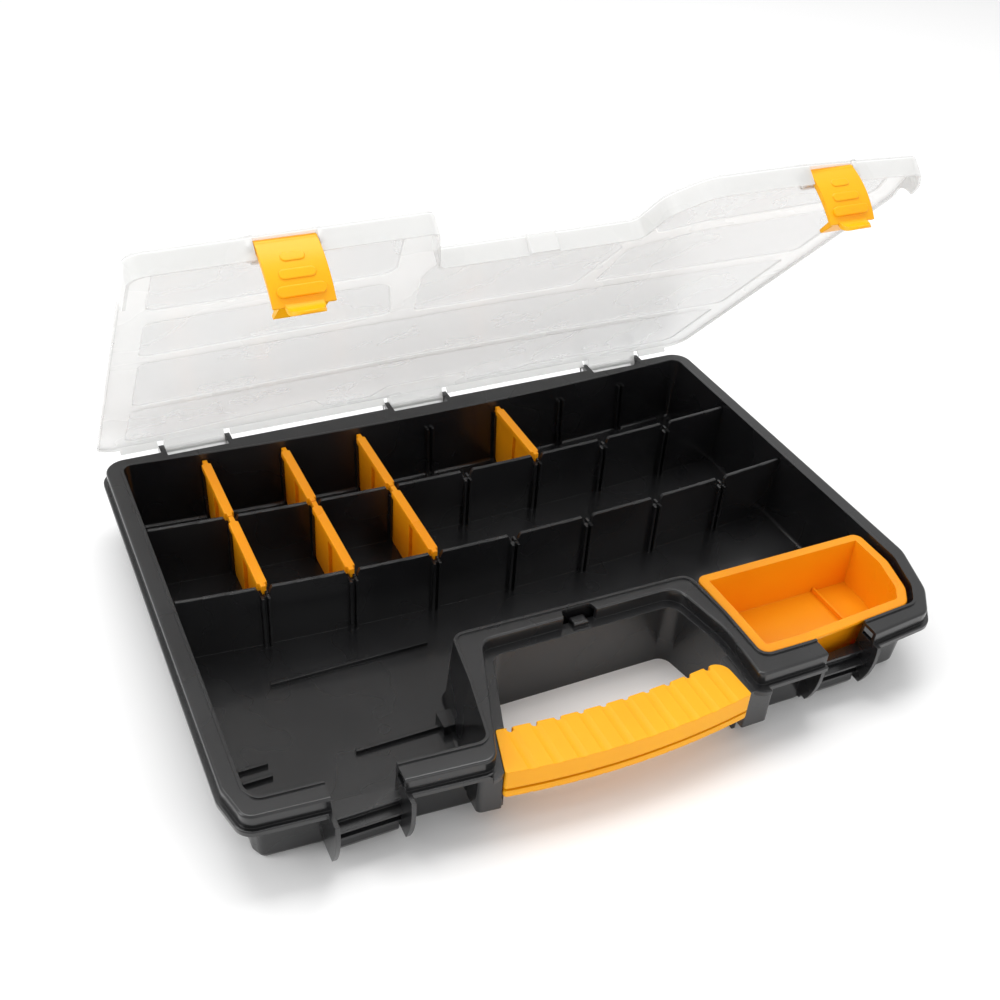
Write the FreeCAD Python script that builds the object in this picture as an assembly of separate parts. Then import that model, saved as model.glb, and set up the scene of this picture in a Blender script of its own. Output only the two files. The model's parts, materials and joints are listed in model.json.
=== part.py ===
import FreeCAD, Part
import math
import os

# Tool and organiser case with a lift-out tray, removable dividers and a hinged snap-latch lid.
# Millimetres, +Z up, +Y towards the hinges, +X to the right of the user. The origin is on the table,
# under the middle of the case. The lid stands open at LID_OPEN degrees.

# ---- driving dimensions -------------------------------------------------------------------------
HALF_X = 217.5          # rim's outer face, left and right
BACK_Y = 160.5          # rim's outer face at the hinge side
FRONT_Y = -159.0        # rim's outer face at the handle side
LIP_OUT = 2.5           # flange lip beyond the rim's outer face
LIP_TOP = 41.0
LIP_T = 3.0
RIM_TOP = 49.0
RIM_T = 2.2
FLOOR = 2.5
WALL = 2.2
DRAFT = 4.0             # how far a tub wall leans in from the rim down to the table
INNER_X = 207.0
INNER_BACK = 151.0      # tub's inner back edge at its ends
BACK_BOW = 16.0         # how far its middle vertex stands forward, before rounding
BACK_RADIUS = 2300.0    # and the radius that rounds it into one shallow arc
BEAD_W = 1.8            # raised bead round the compartments' edge
BEAD_H = 0.9

PARTITION_T = 2.5
PARTITION_TOP = 46.0
PARTITION_END = 203.0
REAR_PARTITION = (77.0, 8.5)       # y in the middle, and how much further back its ends are
FRONT_PARTITION = (4.5, 11.0)

PITCH = 52.0            # spacing of the divider places
PLACES = (-3, -2, -1, 0, 1, 2, 3)
BACK_DIVIDERS = (-3, -2, -1, 1)
MIDDLE_DIVIDERS = (-3, -2, -1)
SLOT_W = 2.2            # guide slot between two guide ribs
GUIDE_T = 1.5
GUIDE_OUT = 3.0
GUIDE_TOP = 40.0
MOUTH_W = (5.0, 10.5)   # funnel in a partition's top edge, at its bottom and its top
DIVIDER_T = 1.5
DIVIDER_TOP = 46.0
STRIP_W = 6.0
STRIP_H = 4.0
TONGUE_W = 3.2          # a divider's strip narrows to a tongue at both ends

HINGE_Y = 166.5
HINGE_Z = 45.0
HINGE_CENTRES = (-157.0, 0.0, 158.0)
HINGE_HALF = 23.5       # half the length of a hinge pin
EAR_T = 3.5
KNUCKLE_R = 4.0
PIN_R = 1.5
RUN_FIT = 0.05          # radial clearance of a pin in its bore
SIDE_GAP = 0.4

LID_OPEN = 47.0
LID_TOP = 53.5
LID_T = 2.4
LID_BOTTOM = 41.5
SKIRT_T = 1.5
LID_RECESS_Y = -118.0   # front edge of the lid above the handle bay
LID_CORNER = (-219.5, -161.5)      # the lid's front left corner
LID_FRONT_LEFT = (-85.0, -164.5)   # and where its left front edge meets the recess
LID_FRONT_RIGHT = ((112.3, -161.5), (194.4, -153.7))
SIDE_SKIRT_Z = 49.5     # the skirt is cut back to here along both sides
PAN_DEPTH = 1.1
PAN_SLOPE = 1.2

LATCHES = (("left", -152.5), ("right", 133.5))
LATCH_HALF = 13.7
RECESS_HALF = 18.0
RECESS_SILL = 31.0
CATCH_Z = 22.0
LATCH_PIVOT_Z = 47.8
LATCH_BARREL = 3.2
LATCH_IN = 3.6          # from the lid's front edge back to the latch's axis
LATCH_SEAT = 7.4        # and to the wall behind the barrel
LATCH_FOOT_Z = 18.6
TAB_HALF = 8.5          # half the width of a latch's finger tab
TAB_OUT = 12.2          # and how far it stands out in front of the axis

BAY_BACK = -84.5
GRIP_X = (-84.5, 63.0)
GRIP_Y = -150.0         # middle of the handle's core
GRIP_BOW = 11.0         # how far the middle vertex of each long side stands out, before rounding
GRIP_RADIUS = 460.0
GRIP_GAP = 0.4          # clearance between the handle and the case round it
SCALLOPS = 10
CORE_HALF = 7.5
CORE_Z = (24.5, 35.5)
GRIP_SPLIT = (27.1, 28.9)
GRIP_Z = (20.5, 41.0)

TRAY_TOP = 47.0
TRAY_BOTTOM = 14.0
TRAY_RIM = 6.0
TRAY_T = 1.6
TRAY_BACK = -73.0


# ---- helpers ------------------------------------------------------------------------------------
def vec(x, y, z=0.0):
    return FreeCAD.Vector(x, y, z)


def box(x0, x1, y0, y1, z0, z1):
    return Part.makeBox(x1 - x0, y1 - y0, z1 - z0, vec(x0, y0, z0))


def rounded_wire(corners, z=0.0):
    """A closed wire at height z through (x, y, radius) corners, each rounded by a tangent arc."""
    bends = []
    count = len(corners)
    for i in range(count):
        x, y, radius = corners[i]
        here = vec(x, y, z)
        before = vec(corners[i - 1][0], corners[i - 1][1], z) - here
        after = vec(corners[(i + 1) % count][0], corners[(i + 1) % count][1], z) - here
        before.normalize()
        after.normalize()
        half = before.getAngle(after) / 2
        middle = before + after
        middle.normalize()
        run = radius / math.tan(half)
        inset = radius / math.sin(half) - radius
        bends.append((here + before * run, here + middle * inset, here + after * run))
    edges = []
    for i in range(count):
        edges.append(Part.LineSegment(bends[i - 1][2], bends[i][0]).toShape())
        edges.append(Part.Arc(*bends[i]).toShape())
    return Part.Wire(Part.__sortEdges__(edges))


def grown(wire, by):
    """The wire offset outwards by a distance, or inwards where it is negative."""
    return wire.makeOffset2D(by)


def raised(wire, z):
    moved = wire.copy()
    moved.translate(vec(0, 0, z))
    return moved


def prism(wire, z0, z1):
    return Part.Face(raised(wire, z0)).extrude(vec(0, 0, z1 - z0))


def tapered(low, z0, high, z1):
    return Part.makeLoft([raised(low, z0), raised(high, z1)], True, True)


def plate_x(profile, x0, x1):
    """A closed (y, z) polygon, extruded from x0 to x1."""
    points = [vec(x0, y, z) for y, z in profile]
    return Part.Face(Part.makePolygon(points + points[:1])).extrude(vec(x1 - x0, 0, 0))


def rod_x(x0, x1, y, z, radius):
    return Part.makeCylinder(radius, x1 - x0, vec(x0, y, z), vec(1, 0, 0))


def softened(solid, radius, keep):
    """Fillets the edges that keep() picks, or leaves them sharp where that has no solution."""
    edges = [e for e in solid.Edges if keep(e)]
    try:
        result = solid.makeFillet(radius, edges)
    except Part.OCCError:
        return solid
    return result if result.isValid() else solid


def at_height(z):
    def test(edge):
        bounds = edge.BoundBox
        return abs(bounds.ZMin - z) < 0.01 and abs(bounds.ZMax - z) < 0.01
    return test


def bowed(line, x):
    middle, rise = line
    return middle + rise * (x / PARTITION_END) ** 2


def back_wall(x, z):
    """The tub's inner back face at x and height z."""
    half = math.atan(BACK_BOW / INNER_X)
    centre = INNER_BACK - BACK_BOW + BACK_RADIUS / math.cos(half)
    return centre - math.sqrt(BACK_RADIUS ** 2 - x * x) - DRAFT * (1 - z / RIM_TOP)


# ---- outlines of the case, seen from above ------------------------------------------------------
def rim_wire():
    return rounded_wire([
        (HALF_X, BACK_Y, 13), (-HALF_X, BACK_Y, 13), (-HALF_X, -126, 12), (-212, -148, 8),
        (-87.5, FRONT_Y, 8), (-59.5, -78.5, 9), (65, -78.5, 11), (72.5, -120, 60),
        (69.8, FRONT_Y, 4), (112, FRONT_Y, 80), (193, -151.3, 10), (206, -134, 25), (HALF_X, -100, 25)])


def inner_wire():
    """The compartments' edge at the rim. The back of it is one shallow arc."""
    middle_y = INNER_BACK - BACK_BOW
    return rounded_wire([
        (INNER_X, INNER_BACK, 6), (0, middle_y, BACK_RADIUS), (-INNER_X, INNER_BACK, 6), (-INNER_X, -130, 6),
        (-203, -137.5, 6), (-87, -146, 6), (-79, -105, 40), (-74, -68.5, 8), (78, -71.5, 8),
        (80.5, -108, 60), (80, -146, 6), (112, -146.5, 80), (190, -141.5, 8), (199, -129, 20),
        (INNER_X, -103, 20)])


def bay_wire():
    """The handle bay, open towards the user."""
    return rounded_wire([
        (-84, -170, 1), (-55.5, BAY_BACK, 8), (60.5, BAY_BACK, 8), (67.5, -120, 60), (65.8, -170, 1)])


def lid_wire():
    """The lid's outer edge, closed: the flange lip's line, but it reaches further over the bay."""
    out = LIP_OUT
    return rounded_wire([
        (HALF_X + out, BACK_Y + out, 15), (-HALF_X - out, BACK_Y + out, 15), LID_CORNER + (9,),
        LID_FRONT_LEFT + (6,), (-70.5, LID_RECESS_Y, 5), (40, LID_RECESS_Y, 6),
        (43, -146, 18), (60, FRONT_Y - 2.3, 18), LID_FRONT_RIGHT[0] + (80,), LID_FRONT_RIGHT[1] + (12,),
        (208.3, -135.2, 27), (HALF_X + out, -100.4, 27)])


def lid_front_y(x):
    """The lid's front edge at a latch."""
    start, end = (LID_CORNER, LID_FRONT_LEFT) if x < 0 else LID_FRONT_RIGHT
    return start[1] + (end[1] - start[1]) * (x - start[0]) / (end[0] - start[0])


# ---- the black case -----------------------------------------------------------------------------
def tub_body():
    inner = inner_wire()
    outer = tapered(grown(inner, WALL - DRAFT), 0, grown(inner, WALL), RIM_TOP)
    return softened(outer, 4.0, at_height(0))


def tub_cavity():
    inner = inner_wire()
    lean = DRAFT * (1 - FLOOR / RIM_TOP)
    over = DRAFT * 0.05
    cavity = tapered(grown(inner, -lean), FLOOR, grown(inner, over), RIM_TOP * 1.05)
    return softened(cavity, 2.5, at_height(FLOOR))


def rim_body():
    rim = rim_wire()
    block = softened(prism(rim, LIP_TOP - LIP_T, RIM_TOP), 1.5, at_height(RIM_TOP))
    lip = softened(prism(grown(rim, LIP_OUT), LIP_TOP - LIP_T, LIP_TOP), 0.8, at_height(LIP_TOP))
    channel = prism(grown(rim, -WALL), 0, RIM_TOP - RIM_T)
    return block.fuse(lip).cut(channel)


def rim_bead():
    """The thin raised edge round the compartments."""
    return prism(grown(inner_wire(), BEAD_W), RIM_TOP - 2, RIM_TOP + BEAD_H)


def bay_walls():
    bay = bay_wire()
    shell = prism(grown(bay, WALL), 0, LIP_TOP)
    shell = shell.cut(prism(bay, -1, LIP_TOP + 1))
    shell = shell.cut(box(-120, 120, -200, -150, -1, 60))
    ledge = prism(grown(bay, 9), LIP_TOP - LIP_T, LIP_TOP).cut(prism(bay, 0, 60))
    return shell.fuse(ledge.common(prism(grown(rim_wire(), 6), 0, 60)))


def bay_cheeks():
    """The blocks at the bay's front corners that carry the handle's core."""
    left = rounded_wire([(-97, -146, 1), (-97, -159.5, 3), (-84, -161, 1), (-77, -134, 1), (-85, -134, 1)])
    right = rounded_wire([(63, -132, 1), (63, -161, 1), (80, -161, 3), (82.5, -146, 1), (78, -132, 1)])
    return [prism(left, 13, LIP_TOP - 0.5), prism(right, 13, LIP_TOP - 0.5)]


def grip_seat():
    """The room the handle takes out of the case round it."""
    return prism(grown(grip_wire(), GRIP_GAP), GRIP_Z[0] - GRIP_GAP, RIM_TOP)


def handle_core():
    y0 = GRIP_Y - CORE_HALF
    bar = box(GRIP_X[0] - 6, GRIP_X[1] + 6, y0, y0 + 2 * CORE_HALF, CORE_Z[0], CORE_Z[1])
    return softened(bar, 2.0, lambda e: e.BoundBox.XLength > 100)


def partition(line):
    half = PARTITION_T / 2
    end = PARTITION_END + 3
    sides = []
    for off in (-half, half):
        ends = [vec(x, bowed(line, x) + off, 0) for x in (-end, 0, end)]
        sides.append(Part.Arc(*ends).toShape())
    caps = [Part.LineSegment(sides[0].Vertexes[i].Point, sides[1].Vertexes[i].Point).toShape() for i in (0, 1)]
    wire = Part.Wire(Part.__sortEdges__(sides + caps))
    return softened(prism(wire, 0.5, PARTITION_TOP), 0.8, at_height(PARTITION_TOP))


def guide_pair(x, root_low, root_high, out):
    """Two upright ribs beside a divider's place. out is -1 or +1, away from the wall they stand on."""
    lean = (root_low - 0.8 * out, FLOOR - 1), (root_high - 0.8 * out, GUIDE_TOP)
    tips = (root_high + GUIDE_OUT * out, GUIDE_TOP), (root_low + GUIDE_OUT * out, FLOOR - 1)
    ribs = []
    for side in (-1, 1):
        near = x + side * SLOT_W / 2
        far = near + side * GUIDE_T
        ribs.append(plate_x(lean + tips, min(near, far), max(near, far)))
    return ribs


def guides():
    ribs = []
    half = PARTITION_T / 2
    for place in PLACES:
        x = place * PITCH
        rear = bowed(REAR_PARTITION, x)
        front = bowed(FRONT_PARTITION, x)
        ribs += guide_pair(x, back_wall(x, FLOOR), back_wall(x, GUIDE_TOP), -1)
        ribs += guide_pair(x, rear + half, rear + half, 1)
        ribs += guide_pair(x, rear - half, rear - half, -1)
        ribs += guide_pair(x, front + half, front + half, 1)
        ribs += guide_pair(x, front - half, front - half, -1)
    return ribs


def mouth(x, y):
    """A funnel-shaped notch in a partition's top edge, over a divider's place."""
    low = GUIDE_TOP - 1
    half_low, half_high = MOUTH_W[0] / 2, MOUTH_W[1] / 2
    sides = []
    for side in (-1, 1):
        foot = vec(x + side * half_low, y - 3, low)
        sides.append(Part.Arc(foot, vec(x + side * (half_low + 0.9), y - 3, low + 4.4),
                              vec(x + side * half_high, y - 3, PARTITION_TOP + 0.5)).toShape())
    corners = [[e.Vertexes[0].Point, e.Vertexes[-1].Point] for e in sides]
    caps = [Part.LineSegment(corners[0][i], corners[1][i]).toShape() for i in (0, 1)]
    return Part.Face(Part.Wire(Part.__sortEdges__(sides + caps))).extrude(vec(0, 6, 0))


def mouths():
    """The notches in both partitions' top edges."""
    cuts = []
    for line in (REAR_PARTITION, FRONT_PARTITION):
        for place in PLACES:
            x = place * PITCH
            cuts.append(mouth(x, bowed(line, x)))
    return cuts


def floor_ribs():
    """Low ribs on the floor that hold long tools, and the two rests of the lift-out tray."""
    top = FLOOR + 2.5
    ribs = [plate_x([(-26, 1), (-24, 1), (-24, top), (-26, top)], -165, -69),
            plate_x([(-91, 1), (-89, 1), (-89, top), (-91, top)], -137, -79),
            box(-88, -76, -96, -84, 1, top + 4),
            box(-199, -183, -81.5, -79.5, 1, top), box(-199, -183, -90.5, -88.5, 1, top)]
    for x in (104.0, 180.0):
        ribs.append(box(x - 1.5, x + 1.5, -138, TRAY_BACK + 4, 1, TRAY_BOTTOM - 0.1))
        ribs.append(box(x - 1.5, x + 1.5, TRAY_BACK + 1.0, TRAY_BACK + 4, 1, TRAY_BOTTOM + 10))
    return ribs


def latch_pad(x):
    """The lowered front wall of a latch recess, its two ridges, and the curved fins beside it."""
    face = -147.5
    profile = [(-139, 3), (face + 1.5, 3), (face, 6), (face, 13.5), (face - 2.8, 14), (face - 2.8, 15.6),
               (face, 16.5), (face, CATCH_Z), (face - 5, CATCH_Z), (face - 5, CATCH_Z + 1.4),
               (face, CATCH_Z + 3), (face, RECESS_SILL - 2), (face - 2, RECESS_SILL - 1.6),
               (face - 2, RECESS_SILL), (-139, RECESS_SILL)]
    pieces = [plate_x(profile, x - RECESS_HALF, x + RECESS_HALF)]
    lip_y = lid_front_y(x)
    start = vec(0, lip_y, LIP_TOP)
    bend = Part.Arc(start, vec(0, lip_y + 1.2, 22), vec(0, lip_y + 6.5, 9)).toShape()
    points = [bend.Vertexes[-1].Point, vec(0, -138, 9), vec(0, -138, LIP_TOP), start]
    edges = [bend] + [Part.LineSegment(points[i], points[i + 1]).toShape() for i in range(3)]
    fin = Part.Face(Part.Wire(Part.__sortEdges__(edges))).extrude(vec(2.5, 0, 0))
    for left in (x - RECESS_HALF - 2.5, x + RECESS_HALF):
        placed = fin.copy()
        placed.translate(vec(left, 0, 0))
        pieces.append(placed)
    return pieces


def latch_gap(x):
    return box(x - RECESS_HALF, x + RECESS_HALF, -175, -136, RECESS_SILL, RIM_TOP + 5)


def ear_profile():
    """One hinge ear: an upright plate with a round nose about the hinge axis."""
    nose = Part.makeCylinder(KNUCKLE_R, EAR_T, vec(0, HINGE_Y, HINGE_Z), vec(1, 0, 0))
    web = plate_x([(151, LIP_TOP - LIP_T), (162.5, LIP_TOP - LIP_T), (HINGE_Y + 2, HINGE_Z - 3.4),
                   (HINGE_Y, HINGE_Z + KNUCKLE_R), (151, RIM_TOP)], 0, EAR_T)
    return nose.fuse(web)


def ear_places():
    return [c + side for c in HINGE_CENTRES for side in (-HINGE_HALF, HINGE_HALF - EAR_T)]


def hinge_ears():
    ears = []
    for left in ear_places():
        ear = ear_profile()
        ear.translate(vec(left, 0, 0))
        ears.append(ear)
    return ears


def hinge_gaps():
    gaps = []
    for centre in HINGE_CENTRES:
        half = HINGE_HALF - EAR_T
        gaps.append(box(centre - half, centre + half, 155, 175, LIP_TOP, RIM_TOP + 5))
    return gaps


def hinge_bores():
    return [rod_x(c - HINGE_HALF - 1, c + HINGE_HALF + 1, HINGE_Y, HINGE_Z, PIN_R + RUN_FIT) for c in HINGE_CENTRES]


def bay_notch():
    """The V-shaped notch in the middle of the bay's rim, and the block that stands in it."""
    v = rounded_wire([(-12.5, -92, 0.5), (16, -92, 0.5), (11, -72.5, 2), (-7.5, -72.5, 2)])
    block = softened(box(-3, 6.5, -81, -74, LIP_TOP - 3, LIP_TOP + 3), 1.2, at_height(LIP_TOP + 3))
    return prism(v, LIP_TOP, RIM_TOP + 3), block


def base_case():
    notch, notch_block = bay_notch()
    cavity = tub_cavity()
    body = tub_body().fuse([rim_body(), rim_bead(), bay_walls()] + bay_cheeks())
    body = body.cut(grip_seat()).fuse(handle_core()).cut(cavity)
    tub = tub_body()
    walls = Part.makeCompound([partition(REAR_PARTITION), partition(FRONT_PARTITION)]).common(tub)
    body = body.fuse([walls] + hinge_ears() + [notch_block])
    body = body.cut([latch_gap(x) for name, x in LATCHES] + mouths() + hinge_gaps() + [notch])
    pads = []
    for name, x in LATCHES:
        pads += [piece.cut(cavity) for piece in latch_pad(x)]
    body = body.fuse(pads + guides() + floor_ribs() + [notch_block])
    body = body.cut(hinge_bores())
    return body.removeSplitter()


# ---- the carrying handle ------------------------------------------------------------------------
def grip_wire():
    """The handle from above: its left end runs with the bay's flank, its right back corner is round."""
    x0, x1 = GRIP_X
    middle = (x0 + x1) / 2
    front, back = -162.5, -134.5
    return rounded_wire([
        (x0, front, 1.5), (middle, front - GRIP_BOW, GRIP_RADIUS), (x1, front, 1.5), (x1 - 1, back, 8),
        (middle + 3, back - 0.65 * GRIP_BOW, GRIP_RADIUS), (x0 + 7.5, back, 1.5)])


def grip_blank():
    """The whole handle as one rounded bar, bowed towards the user."""
    low, high = GRIP_Z
    bar = prism(grip_wire(), low, high)
    bar = softened(bar, 6.0, lambda e: at_height(high)(e) and e.BoundBox.XLength > 30)
    return softened(bar, 3.5, lambda e: at_height(low)(e) and e.BoundBox.XLength > 30)


def core_hole():
    gap = 0.15
    half = CORE_HALF + gap
    hole = box(GRIP_X[0] - 9, GRIP_X[1] + 9, GRIP_Y - half, GRIP_Y + half, CORE_Z[0] - gap, CORE_Z[1] + gap)
    return hole


def grip_half(z0, z1):
    slab = box(-120, 120, -200, -100, z0, z1)
    return grip_blank().common(slab).cut(core_hole())


def grip_back_y(x):
    """Where the back edge of the handle is at x, near enough for a nick."""
    middle = (GRIP_X[0] + GRIP_X[1]) / 2
    along = (x - middle) / (GRIP_X[1] - middle)
    return -134.5 - 0.33 * GRIP_BOW * (1 - along * along)


def rod_y(x, y0, y1, z, radius):
    return Part.makeCylinder(radius, y1 - y0, vec(x, y0, z), vec(0, 1, 0))


def scallops():
    """Shallow finger grooves across the upper half, and a nick at the back end of each."""
    step = (GRIP_X[1] - GRIP_X[0]) / (SCALLOPS + 1)
    cuts = []
    for i in range(SCALLOPS):
        x = GRIP_X[0] + step * (i + 1) + 1.5
        cuts.append(Part.makeCylinder(9.0, 60, vec(x, GRIP_Y - 30, GRIP_Z[1] + 8.5), vec(0, 1, 0)))
        back = grip_back_y(x)
        cuts.append(Part.makeCylinder(1.8, 30, vec(x, back - 0.6, GRIP_Z[1] - 8), vec(0, 0, 1)))
    return cuts


def grip_nicks():
    """The notches along the bottom of the lower half's front."""
    step = (GRIP_X[1] - GRIP_X[0]) / (SCALLOPS + 1)
    cuts = []
    for i in range(SCALLOPS):
        x = GRIP_X[0] + step * (i + 1) + 1.5
        cuts.append(rod_y(x, -175, -156, GRIP_Z[0] + 0.8, 1.7))
    return cuts


# ---- the translucent lid ------------------------------------------------------------------------
def lid_shell():
    outline = lid_wire()
    shell = softened(prism(outline, LID_BOTTOM, LID_TOP), 2.5, at_height(LID_TOP))
    return shell.cut(prism(grown(outline, -SKIRT_T), LID_BOTTOM - 1, LID_TOP - LID_T))


def lid_pans():
    """The outlines of the shallow pans that leave the lid's border and ribs standing inside it."""
    rear = [(-203, 78, 6), (0, 70, 900), (203, 78, 6), (203, 149, 9), (84, 144, 6), (74, 152, 3), (36, 152, 3),
            (28, 132, 4), (0, 131.5, 1), (-28, 132, 4), (-36, 152, 3), (-70, 152, 3), (-80, 134, 5),
            (-203, 152, 9)]
    middle = [(-204, -12, 6), (0, -17, 900), (204, -12, 6), (203, 69, 6), (0, 61, 900), (-203, 69, 6)]
    return [
        rear, middle,
        [(-205, -23, 6), (-205, -74, 6), (-83, -80, 9), (-69, -29, 5)],
        [(-56, -27, 6), (-67, -80, 6), (-62, -106, 6), (30, -106, 6), (52, -80, 8), (44, -27, 6)],
        [(56, -27, 6), (56, -76, 6), (90, -88, 10), (205, -92, 8), (205, -23, 6)],
        [(-206, -90, 6), (-206, -145, 8), (-93, -149, 8), (-83, -93, 8)],
        [(53, -112, 6), (66, -94, 6), (92, -101, 10), (203, -105, 8), (190, -142, 12), (112, -149, 10),
         (62, -146, 10)]]


def lid_panels():
    floor = LID_TOP - LID_T
    cuts = []
    for pan in lid_pans():
        wire = rounded_wire(pan)
        deep = grown(wire, -PAN_SLOPE)
        cuts.append(prism(wire, floor - 1, floor + 0.05))
        cuts.append(tapered(wire, floor, deep, floor + PAN_DEPTH))
    return cuts


def side_skirt_cuts():
    """What the skirt loses along both sides, ending in a curve near the front."""
    low = LID_BOTTOM - 1
    bend = Part.Arc(vec(0, -125, low), vec(0, -119.5, 47.2), vec(0, -106, SIDE_SKIRT_Z)).toShape()
    points = [bend.Vertexes[-1].Point, vec(0, 180, SIDE_SKIRT_Z), vec(0, 180, low), vec(0, -125, low)]
    edges = [bend] + [Part.LineSegment(points[i], points[i + 1]).toShape() for i in range(3)]
    section = Part.Face(Part.Wire(Part.__sortEdges__(edges)))
    cuts = []
    for left in (-235, 205):
        side = section.extrude(vec(30, 0, 0))
        side.translate(vec(left, 0, 0))
        cuts.append(side)
    return cuts


def lid_hinges():
    """The three knuckles behind the lid's back edge."""
    pieces = []
    half = HINGE_HALF - EAR_T - SIDE_GAP
    for centre in HINGE_CENTRES:
        knuckle = rod_x(centre - half, centre + half, HINGE_Y, HINGE_Z, KNUCKLE_R)
        arm = plate_x([(HINGE_Y - KNUCKLE_R, HINGE_Z), (HINGE_Y + KNUCKLE_R, HINGE_Z), (HINGE_Y + KNUCKLE_R, 48),
                       (HINGE_Y + 1, LID_TOP - 1.5), (HINGE_Y - 2, LID_TOP), (BACK_Y - 1, LID_TOP),
                       (BACK_Y - 1, LID_TOP - LID_T)], centre - half, centre + half)
        pieces += [knuckle, arm]
    return pieces


def lid_latch_seats():
    """At each latch: the lugs that hold its pin, and the wall behind it."""
    cuts = []
    adds = []
    for name, x in LATCHES:
        edge = lid_front_y(x)
        gap = LATCH_HALF + SIDE_GAP
        back = edge + LATCH_SEAT
        cuts.append(box(x - gap, x + gap, edge - 8, back, LID_BOTTOM - 1, LID_TOP - LID_T))
        adds.append(box(x - gap - 1, x + gap + 1, back, back + 1.8, LIP_TOP + 2, LID_TOP - 1))
        for left in (x - gap - 2.6, x + gap):
            adds.append(box(left, left + 2.6, edge + 0.6, edge + 8, LID_BOTTOM + 2, LID_TOP - 1))
    return cuts, adds


def lid_tab():
    """The small pull tab at the middle of the handle recess."""
    return softened(box(-23, -7, LID_RECESS_Y - 3.0, LID_RECESS_Y + 1.2, LID_BOTTOM, LID_TOP - 2.5), 1.2,
                    lambda e: e.BoundBox.ZLength > 5)


def lid_closed():
    cuts, adds = lid_latch_seats()
    lid = lid_shell()
    rear_skirt = box(-230, 230, 147.5, 175, LID_BOTTOM - 1, HINGE_Z + 1.5)
    slots = [box(left - SIDE_GAP, left + EAR_T + SIDE_GAP, 155, 175, HINGE_Z, LID_TOP - LID_T)
             for left in ear_places()]
    lid = lid.cut(lid_panels() + side_skirt_cuts() + slots + [rear_skirt])
    lid = lid.cut(cuts).fuse(adds + lid_hinges() + [lid_tab()])
    bores = hinge_bores()
    for name, x in LATCHES:
        bores.append(latch_pin_shape(x, PIN_R + RUN_FIT, 1.0))
    return lid.cut(bores).removeSplitter()


def latch_pivot_y(x):
    return lid_front_y(x) + LATCH_IN


def latch_pin_shape(x, radius, extra):
    half = LATCH_HALF + SIDE_GAP + 2.4 + extra
    return rod_x(x - half, x + half, latch_pivot_y(x), LATCH_PIVOT_Z, radius)


# ---- a snap latch -------------------------------------------------------------------------------
def latch_skin(y, z, out):
    """The latch's bowed section in (y, z), its front face moved out by a distance."""
    foot = LATCH_FOOT_Z
    top_rear, top_front = vec(0, y - 0.4, z + 1.8), vec(0, y - 2.6 - out, z + 1.6)
    low_front, low_rear = vec(0, y - 6.0 - out, foot), vec(0, y - 4.9, foot)
    front = Part.Arc(top_front, vec(0, y - 7.0 - out, 33), low_front).toShape()
    rear = Part.Arc(low_rear, vec(0, y - 4.5, 33), top_rear).toShape()
    ends = [Part.LineSegment(top_rear, top_front).toShape(), Part.LineSegment(low_front, low_rear).toShape()]
    return Part.Face(Part.Wire(Part.__sortEdges__([front, rear] + ends)))


def upright_oval(x, z, half_w, half_h):
    """A rounded slot seen from the front, as a bar running front to back."""
    flat = rounded_wire([(x - half_w, z - half_h, half_h * 0.98), (x + half_w, z - half_h, half_h * 0.98),
                         (x + half_w, z + half_h, half_h * 0.98), (x - half_w, z + half_h, half_h * 0.98)])
    bar = Part.Face(flat).extrude(vec(0, 0, 60))
    bar.rotate(vec(0, 0, 0), vec(1, 0, 0), 90)
    bar.translate(vec(0, -130, 0))
    return bar


def latch_embossing(x, y, z):
    """The raised ovals and the finger rib on a latch's front."""
    marks = []
    for height, half_w, half_h, out in ((40.2, 5.3, 2.1, 0.5), (32.2, 8.0, 2.2, 0.6), (24.6, 10.6, 2.4, 1.3)):
        skin = latch_skin(y, z, out).extrude(vec(2 * LATCH_HALF, 0, 0))
        skin.translate(vec(x - LATCH_HALF, 0, 0))
        marks.append(softened(skin.common(upright_oval(x, height, half_w, half_h)), 0.4,
                              lambda e: e.BoundBox.YMax < y - 5.6 and e.Length > 2))
    return marks


def latch_tab(x, y):
    """The spoon-like finger tab at a latch's foot."""
    tip = y - TAB_OUT
    root = LATCH_FOOT_Z + 3.4
    front = Part.Arc(vec(0, y - 5.8, root), vec(0, y - 7.4, 17.6), vec(0, tip, 14.2)).toShape()
    toe = Part.Arc(vec(0, tip, 14.2), vec(0, tip - 0.4, 13.4), vec(0, tip + 0.2, 12.7)).toShape()
    rear = Part.Arc(vec(0, tip + 0.2, 12.7), vec(0, y - 7.0, 15.0), vec(0, y - 4.9, LATCH_FOOT_Z)).toShape()
    top = [Part.LineSegment(vec(0, y - 4.9, LATCH_FOOT_Z), vec(0, y - 4.9, root)).toShape(),
           Part.LineSegment(vec(0, y - 4.9, root), vec(0, y - 5.8, root)).toShape()]
    section = Part.Face(Part.Wire(Part.__sortEdges__([front, toe, rear] + top)))
    tab = section.extrude(vec(2 * TAB_HALF, 0, 0))
    tab.translate(vec(x - TAB_HALF, 0, 0))
    outline = rounded_wire([(x - TAB_HALF, tip - 0.5, 7.5), (x + TAB_HALF, tip - 0.5, 7.5),
                            (x + TAB_HALF, y, 0.5), (x - TAB_HALF, y, 0.5)])
    return tab.common(prism(outline, 10, 25))


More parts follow.
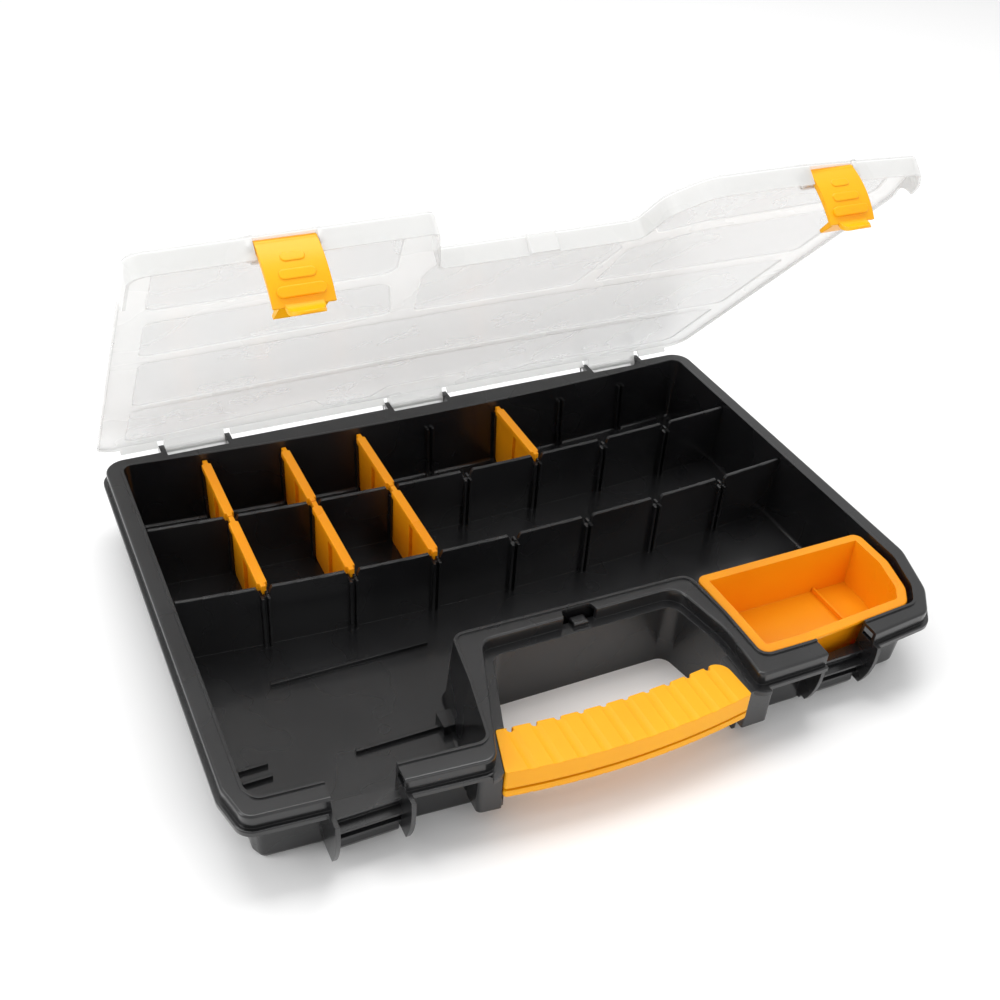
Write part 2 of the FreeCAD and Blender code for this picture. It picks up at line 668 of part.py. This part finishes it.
def latch_closed(x):
    """A bowed clip: barrel at the top, embossed front, hook inside near its foot, and a finger tab."""
    y = latch_pivot_y(x)
    z = LATCH_PIVOT_Z
    barrel = rod_x(x - LATCH_HALF, x + LATCH_HALF, y, z, LATCH_BARREL)
    body = latch_skin(y, z, 0).extrude(vec(2 * LATCH_HALF, 0, 0))
    body.translate(vec(x - LATCH_HALF, 0, 0))
    hook = plate_x([(y - 5.2, 18.9), (-149.8, 19.4), (-149.2, 20.2), (-149.2, 21.4), (y - 4.9, 22.4)],
                   x - LATCH_HALF + 3, x + LATCH_HALF - 3)
    latch = barrel.fuse([body, hook, latch_tab(x, y)] + latch_embossing(x, y, z)).removeSplitter()
    return latch.cut(latch_pin_shape(x, PIN_R + RUN_FIT, 2.0))


# ---- tray and dividers --------------------------------------------------------------------------
def tray_wire():
    return rounded_wire([
        (82.2, TRAY_BACK, 6), (82.8, -108, 60), (82.3, -143.6, 7), (112, -144.2, 80), (188.6, -139.3, 9),
        (197, -127.5, 19), (203.5, -103, 19), (203.5, TRAY_BACK, 6)])


def tray():
    rim = tray_wire()
    plate = softened(prism(rim, TRAY_TOP - 2, TRAY_TOP), 0.8, at_height(TRAY_TOP))
    body = tapered(grown(rim, -TRAY_RIM - 1), TRAY_BOTTOM, grown(rim, 1.6 - TRAY_RIM), TRAY_TOP - 0.5)
    body = softened(body, 1.5, at_height(TRAY_BOTTOM))
    room = tapered(grown(rim, -TRAY_RIM - 1 - TRAY_T), TRAY_BOTTOM + TRAY_T, grown(rim, -TRAY_RIM), TRAY_TOP + 1)
    rib = box(169, 170.6, -137, -82, TRAY_BOTTOM + 1, TRAY_BOTTOM + 5)
    rib = rib.common(body)
    return plate.fuse(body).cut(room).fuse(rib).removeSplitter()


def divider(x, y_low, y_high, seat_low, seat_high):
    """A plate under a thick top strip with a tongue at each end. y_high is (at the floor, at the top)."""
    half = DIVIDER_T / 2
    low = FLOOR + 0.3
    shoulder = DIVIDER_TOP - STRIP_H
    cut = 3.0
    plate = plate_x([(y_low, low), (y_high[0] - cut, low), (y_high[0], low + cut),
                     (y_high[1], shoulder + 0.5), (y_low, shoulder + 0.5)], x - half, x + half)
    wide, thin = STRIP_W / 2, TONGUE_W / 2
    start, end = y_low + GUIDE_OUT - 0.8, y_high[1] - GUIDE_OUT - 1.6
    outline = rounded_wire([
        (x - thin, seat_low, 0.5), (x + thin, seat_low, 0.5), (x + thin, start - 0.8, 0.3),
        (x + wide, start, 0.4), (x + wide, end, 0.4), (x + thin, end + 0.8, 0.3), (x + thin, seat_high, 0.5),
        (x - thin, seat_high, 0.5), (x - thin, end + 0.8, 0.3), (x - wide, end, 0.4), (x - wide, start, 0.4),
        (x - thin, start - 0.8, 0.3)])
    strip = softened(prism(outline, shoulder, DIVIDER_TOP), 0.6, at_height(DIVIDER_TOP))
    middle = (y_low + y_high[0]) / 2
    web = box(x - wide, x + wide, middle - 0.8, middle + 0.8, low, shoulder)
    return plate.fuse([strip, web]).removeSplitter()


def back_divider(place):
    x = place * PITCH
    half = PARTITION_T / 2
    front = bowed(REAR_PARTITION, x)
    ends = (back_wall(x, FLOOR) - 0.8, back_wall(x, DIVIDER_TOP - STRIP_H) - 0.8)
    return divider(x, front + half + 0.6, ends, front + 0.3, ends[1])


def middle_divider(place):
    x = place * PITCH
    half = PARTITION_T / 2
    front = bowed(FRONT_PARTITION, x)
    rear = bowed(REAR_PARTITION, x)
    end = rear - half - 0.6
    return divider(x, front + half + 0.6, (end, end), front + 0.3, rear - 0.3)


# ---- the assembly -------------------------------------------------------------------------------
def opened(shape):
    """Turns a piece of the closed lid to where it stands open."""
    turned = shape.copy()
    turned.rotate(vec(0, HINGE_Y, HINGE_Z), vec(-1, 0, 0), LID_OPEN)
    return turned


def all_parts():
    parts = {"base_case": base_case()}
    parts["grip_upper"] = grip_half(GRIP_SPLIT[1], GRIP_Z[1] + 1).cut(scallops())
    parts["grip_lower"] = grip_half(GRIP_Z[0] - 1, GRIP_SPLIT[0]).cut(grip_nicks())
    parts["lid"] = opened(lid_closed())
    names = ("left", "middle", "right")
    for name, centre in zip(names, HINGE_CENTRES):
        parts["hinge_pin_" + name] = rod_x(centre - HINGE_HALF, centre + HINGE_HALF, HINGE_Y, HINGE_Z, PIN_R)
    for name, x in LATCHES:
        parts["latch_" + name] = opened(latch_closed(x))
        parts["latch_pin_" + name] = opened(latch_pin_shape(x, PIN_R, 0))
    parts["tray"] = tray()
    for number, place in enumerate(BACK_DIVIDERS):
        parts["divider_back_%d" % (number + 1)] = back_divider(place)
    for number, place in enumerate(MIDDLE_DIVIDERS):
        parts["divider_middle_%d" % (number + 1)] = middle_divider(place)
    return parts


os.makedirs("parts", exist_ok=True)
for node, shape in all_parts().items():
    shape.exportStep("parts/" + node + ".step")
    print(node, shape.isValid(), len(shape.Solids), round(shape.Volume / 1000, 1))
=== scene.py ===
import bpy
import json
import math
from mathutils import Matrix, Vector

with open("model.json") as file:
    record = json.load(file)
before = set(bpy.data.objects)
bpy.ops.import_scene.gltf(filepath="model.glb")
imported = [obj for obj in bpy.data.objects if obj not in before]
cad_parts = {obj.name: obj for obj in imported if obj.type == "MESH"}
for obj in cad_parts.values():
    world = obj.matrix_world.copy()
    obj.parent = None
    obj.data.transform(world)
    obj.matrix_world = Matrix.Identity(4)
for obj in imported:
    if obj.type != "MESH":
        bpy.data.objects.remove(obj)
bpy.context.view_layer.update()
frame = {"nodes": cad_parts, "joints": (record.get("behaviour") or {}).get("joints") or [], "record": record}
nodes = frame["nodes"]

# ---- view ---------------------------------------------------------------------------------------
VIEW_TURN = 27.62       # degrees from +Y towards +X
VIEW_DOWN = 36.38
VIEW_ROLL = 4.27
CAMERA_AT = (-0.2861, -0.5203, 0.5109)      # m
LENS = 44.3             # mm
SENSOR = 36.0           # mm

# ---- the closed lid's heights above its hinge axis (m) -------------------------------------------
LID_SKIRT = -0.0035     # bottom of the skirt
LID_INNER = 0.0061      # face of the ribs and border
LID_PAN = 0.0072        # floor of the pans
LID_OUTER = 0.0085      # outer face
LID_STEP = 0.0002       # half the height over which one shade turns into the next
PAINTED_EDGE_SHADE = 0.84       # painted shade: brightness that the lid's edges and steps are painted at beside that of its faces
EDGE_DENSITY = 0.25     # opacity that its edges and steps have on top of its faces'

# ---- colours, each from its darker to its lighter tone -------------------------------------------
BLACK = ((0.006, 0.006, 0.0065), (0.011, 0.011, 0.012))
MILKY = ((0.95, 0.955, 0.94), (1.0, 1.0, 0.99))
LATCH_YELLOW = ((0.92, 0.41, 0.002), (0.96, 0.45, 0.003))
GRIP_YELLOW = ((0.88, 0.37, 0.002), (0.93, 0.41, 0.003))
TRAY_ORANGE = ((0.88, 0.30, 0.004), (0.93, 0.35, 0.005))
STEEL = ((0.5, 0.5, 0.5), (0.62, 0.62, 0.63))
FLOOR_GREY = (0.9, 0.9, 0.9, 1)

# ---- surface ------------------------------------------------------------------------------------
SLOW_SCALE = 18.0       # noise that shifts tone and gloss over centimetres
GRAIN_SCALE = 900.0     # noise of the moulded grain
GRAIN_DEPTH = 0.00003   # m
GLOSS_SPREAD = 0.06     # how far the roughness varies
EDGE_RADIUS = 0.0006    # m, softened edges

# ---- studio -------------------------------------------------------------------------------------
FLOOR_REACH = 30.0      # m
WORLD_STRENGTH = 0.8
LAMP_AIM = (0, 0, 0.03)
LAMPS = [               # name, place (m), size (m), power (W)
    ("overhead", (0.1, 0.5, 1.7), (1.6, 0.9), 20),
    ("left", (-1.5, 0.1, 0.9), (0.6, 1.2), 8),
    ("front", (0.5, -1.6, 1.1), (1.2, 0.6), 4)]


def camera():
    data = bpy.data.cameras.new("camera")
    data.lens = LENS
    data.sensor_width = SENSOR
    data.clip_start = 0.01
    data.clip_end = 50
    obj = bpy.data.objects.new("camera", data)
    turn = Matrix.Rotation(math.radians(-VIEW_TURN), 4, "Z")
    tilt = Matrix.Rotation(math.radians(90 - VIEW_DOWN), 4, "X")
    roll = Matrix.Rotation(math.radians(VIEW_ROLL), 4, "Z")
    obj.matrix_world = Matrix.Translation(CAMERA_AT) @ turn @ tilt @ roll
    bpy.context.scene.collection.objects.link(obj)
    bpy.context.scene.camera = obj


# ---- material helpers ---------------------------------------------------------------------------
def new_material(name):
    material = bpy.data.materials.new(name)
    material.use_nodes = True
    tree = material.node_tree
    return material, tree, tree.nodes["Principled BSDF"]


def add(tree, kind, **values):
    node = tree.nodes.new(kind)
    for key, value in values.items():
        if key in node.inputs:
            node.inputs[key].default_value = value
        else:
            setattr(node, key, value)
    return node


def noise(tree, scale, detail=2.0):
    place = add(tree, "ShaderNodeTexCoord")
    texture = add(tree, "ShaderNodeTexNoise", Scale=scale, Detail=detail)
    tree.links.new(place.outputs["Object"], texture.inputs["Vector"])
    return texture.outputs["Fac"]


def ranged(tree, value, low, high, start=0.3, end=0.7):
    node = add(tree, "ShaderNodeMapRange")
    node.inputs["From Min"].default_value = start
    node.inputs["From Max"].default_value = end
    node.inputs["To Min"].default_value = low
    node.inputs["To Max"].default_value = high
    tree.links.new(value, node.inputs["Value"])
    return node.outputs["Result"]


def tinted(tree, value, low, high):
    node = add(tree, "ShaderNodeMix", data_type="RGBA")
    node.inputs["A"].default_value = (*low, 1)
    node.inputs["B"].default_value = (*high, 1)
    tree.links.new(value, node.inputs["Factor"])
    return [o for o in node.outputs if o.type == "RGBA"][0]


def varied(name, tones, roughness):
    """A material with slow variation of colour and gloss."""
    material, tree, shader = new_material(name)
    slow = noise(tree, SLOW_SCALE)
    tree.links.new(tinted(tree, ranged(tree, slow, 0, 1), *tones), shader.inputs["Base Color"])
    gloss = ranged(tree, slow, roughness - GLOSS_SPREAD / 2, roughness + GLOSS_SPREAD / 2)
    tree.links.new(gloss, shader.inputs["Roughness"])
    return material, tree, shader


def grained(name, tones, roughness, grain=GRAIN_SCALE, edge=EDGE_RADIUS):
    """A varied material with fine grain and, where edge isn't 0, softened edges."""
    material, tree, shader = varied(name, tones, roughness)
    bump = add(tree, "ShaderNodeBump", Strength=0.35, Distance=GRAIN_DEPTH)
    tree.links.new(noise(tree, grain, 3.0), bump.inputs["Height"])
    if edge:
        bevel = add(tree, "ShaderNodeBevel", samples=4, Radius=edge)
        tree.links.new(bevel.outputs["Normal"], bump.inputs["Normal"])
    tree.links.new(bump.outputs["Normal"], shader.inputs["Normal"])
    return material, shader


def case_plastic():
    material, shader = grained("case_black", BLACK, 0.27)
    shader.inputs["IOR"].default_value = 1.5
    shader.inputs["Coat Weight"].default_value = 0.25
    shader.inputs["Coat Roughness"].default_value = 0.12
    return material


def coloured_plastic(name, tones, roughness):
    material, shader = grained(name, tones, roughness)
    shader.inputs["IOR"].default_value = 1.49
    shader.inputs["Specular IOR Level"].default_value = 0.28
    shader.inputs["Subsurface Weight"].default_value = 0.15
    shader.inputs["Subsurface Radius"].default_value = (0.004, 0.0018, 0.0004)
    shader.inputs["Subsurface Scale"].default_value = 1.0
    return material


def joint(name):
    return [j for j in frame["joints"] if j["name"] == name][0]


def lid_up():
    """Which way the closed lid's upward direction points while the lid is at rest."""
    hinge = joint("lid_hinge")
    closed = math.radians(hinge["range_deg"][0])
    return Matrix.Rotation(-closed, 3, Vector(hinge["axis"])) @ Vector((0, 0, 1))


def lid_height(tree):
    """A point's height above the hinge axis on the closed lid, 0 at LID_SKIRT and 1 at LID_OUTER."""
    place = add(tree, "ShaderNodeTexCoord")
    off = add(tree, "ShaderNodeVectorMath", operation="SUBTRACT")
    off.inputs[1].default_value = Vector(joint("lid_hinge")["pos_m"])
    tree.links.new(place.outputs["Object"], off.inputs[0])
    dot = add(tree, "ShaderNodeVectorMath", operation="DOT_PRODUCT")
    dot.inputs[1].default_value = lid_up()
    tree.links.new(off.outputs["Vector"], dot.inputs[0])
    return ranged(tree, dot.outputs["Value"], 0, 1, LID_SKIRT, LID_OUTER)


def lid_edge_on(tree):
    """1 on the lid's edges and steps, which stand square to its sheet, and 0 on its faces."""
    geometry = add(tree, "ShaderNodeNewGeometry")
    turn = add(tree, "ShaderNodeVectorTransform", vector_type="NORMAL", convert_from="WORLD",
               convert_to="OBJECT")
    tree.links.new(geometry.outputs["True Normal"], turn.inputs["Vector"])
    dot = add(tree, "ShaderNodeVectorMath", operation="DOT_PRODUCT")
    dot.inputs[1].default_value = lid_up()
    tree.links.new(turn.outputs["Vector"], dot.inputs[0])
    size = add(tree, "ShaderNodeMath", operation="ABSOLUTE")
    tree.links.new(dot.outputs["Value"], size.inputs[0])
    return ranged(tree, size.outputs["Value"], 1, 0, 0.2, 0.97)


def stepped(tree, value, steps):
    """A grey ramp over the lid's height, through (height in metres, grey) steps."""
    node = add(tree, "ShaderNodeValToRGB")
    elements = node.color_ramp.elements
    elements.remove(elements[1])
    for count, (height, grey) in enumerate(steps):
        position = (height - LID_SKIRT) / (LID_OUTER - LID_SKIRT)
        element = elements[0] if count == 0 else elements.new(position)
        element.position = position
        element.color = (grey, grey, grey, 1)
    tree.links.new(value, node.inputs["Fac"])
    return node.outputs["Color"]


def multiplied(tree, one, other):
    mix = add(tree, "ShaderNodeMix", data_type="RGBA", blend_type="MULTIPLY")
    mix.inputs["Factor"].default_value = 1.0
    colours = [i for i in mix.inputs if i.type == "RGBA"]
    tree.links.new(one, colours[0])
    tree.links.new(other, colours[1])
    return [o for o in mix.outputs if o.type == "RGBA"][0]


def lid_plastic():
    """Milky sheet with flat faces. Its ribs and border are painted lighter than the pans between them, a
    painted light and shade that stands in for how light passes through the sheet.
    """
    material, tree, shader = varied("lid_clear", MILKY, 0.28)
    flat = add(tree, "ShaderNodeNewGeometry")
    tree.links.new(flat.outputs["True Normal"], shader.inputs["Normal"])
    height = lid_height(tree)
    edge_on = lid_edge_on(tree)
    # painted light and shade: over the lid's height the ribs and border are painted lighter and the pans
    # darker
    painted_light_and_shade = stepped(tree, height, [
        (LID_SKIRT, 0.94), (LID_INNER - LID_STEP, 0.94), (LID_INNER, 1.0), (LID_INNER + LID_STEP, 1.0),
        ((LID_INNER + LID_PAN) / 2, 0.62), (LID_PAN - LID_STEP, 0.66), (LID_OUTER, 0.72)])
    tint = shader.inputs["Base Color"].links[0].from_socket
    # painted shade: the lid's edges and steps are painted darker than its faces
    painted_edge_darkening = ranged(tree, edge_on, 1.0, PAINTED_EDGE_SHADE, 0, 1)
    colour = multiplied(tree, multiplied(tree, tint, painted_light_and_shade), painted_edge_darkening)
    tree.links.new(colour, shader.inputs["Base Color"])
    cloud = stepped(tree, height, [
        (LID_SKIRT, 0.32), (LID_INNER - LID_STEP, 0.32), (LID_INNER, 0.44),
        (LID_PAN, 0.36), (LID_OUTER, 0.36)])
    dense = add(tree, "ShaderNodeMath", operation="MULTIPLY_ADD", use_clamp=True)
    tree.links.new(edge_on, dense.inputs[0])
    dense.inputs[1].default_value = EDGE_DENSITY
    tree.links.new(cloud, dense.inputs[2])
    tree.links.new(dense.outputs["Value"], shader.inputs["Alpha"])
    shader.inputs["IOR"].default_value = 1.45
    shader.inputs["Specular IOR Level"].default_value = 0.3
    return material


def wire_steel():
    material, shader = grained("pin_steel", STEEL, 0.3, grain=2500.0, edge=0)
    shader.inputs["Metallic"].default_value = 1.0
    return material


def dress_nodes():
    finishes = {
        "case_black": case_plastic(),
        "lid_clear": lid_plastic(),
        "latch_yellow": coloured_plastic("latch_yellow", LATCH_YELLOW, 0.34),
        "grip_yellow": coloured_plastic("grip_yellow", GRIP_YELLOW, 0.40),
        "tray_orange": coloured_plastic("tray_orange", TRAY_ORANGE, 0.3),
        "pin_steel": wire_steel()}
    slot_of = {part["node"]: part["material_slot"] for part in frame["record"]["subparts"]}
    for name, obj in nodes.items():
        obj.data.materials.clear()
        obj.data.materials.append(finishes[slot_of[name]])


# ---- stage --------------------------------------------------------------------------------------
def floor():
    mesh = bpy.data.meshes.new("floor")
    turns = [(-1, -1), (1, -1), (1, 1), (-1, 1)]
    corners = [(FLOOR_REACH * x, FLOOR_REACH * y, 0) for x, y in turns]
    mesh.from_pydata(corners, [], [(0, 1, 2, 3)])
    obj = bpy.data.objects.new("floor", mesh)
    bpy.context.scene.collection.objects.link(obj)
    material, _, shader = new_material("floor_paint")
    shader.inputs["Base Color"].default_value = FLOOR_GREY
    shader.inputs["Roughness"].default_value = 0.6
    obj.data.materials.append(material)


def lamp(name, at, size, power):
    data = bpy.data.lights.new(name, "AREA")
    data.shape = "RECTANGLE"
    data.size, data.size_y = size
    data.energy = power
    obj = bpy.data.objects.new(name, data)
    obj.location = at
    aim = Vector(LAMP_AIM) - Vector(at)
    obj.rotation_euler = aim.to_track_quat("-Z", "Y").to_euler()
    bpy.context.scene.collection.objects.link(obj)


def studio():
    world = bpy.data.worlds.new("studio")
    world.use_nodes = True
    background = world.node_tree.nodes["Background"]
    background.inputs["Color"].default_value = (1, 1, 1, 1)
    background.inputs["Strength"].default_value = WORLD_STRENGTH
    bpy.context.scene.world = world
    for values in LAMPS:
        lamp(*values)
    bpy.context.scene.view_settings.view_transform = "Standard"


camera()
studio()
floor()
dress_nodes()
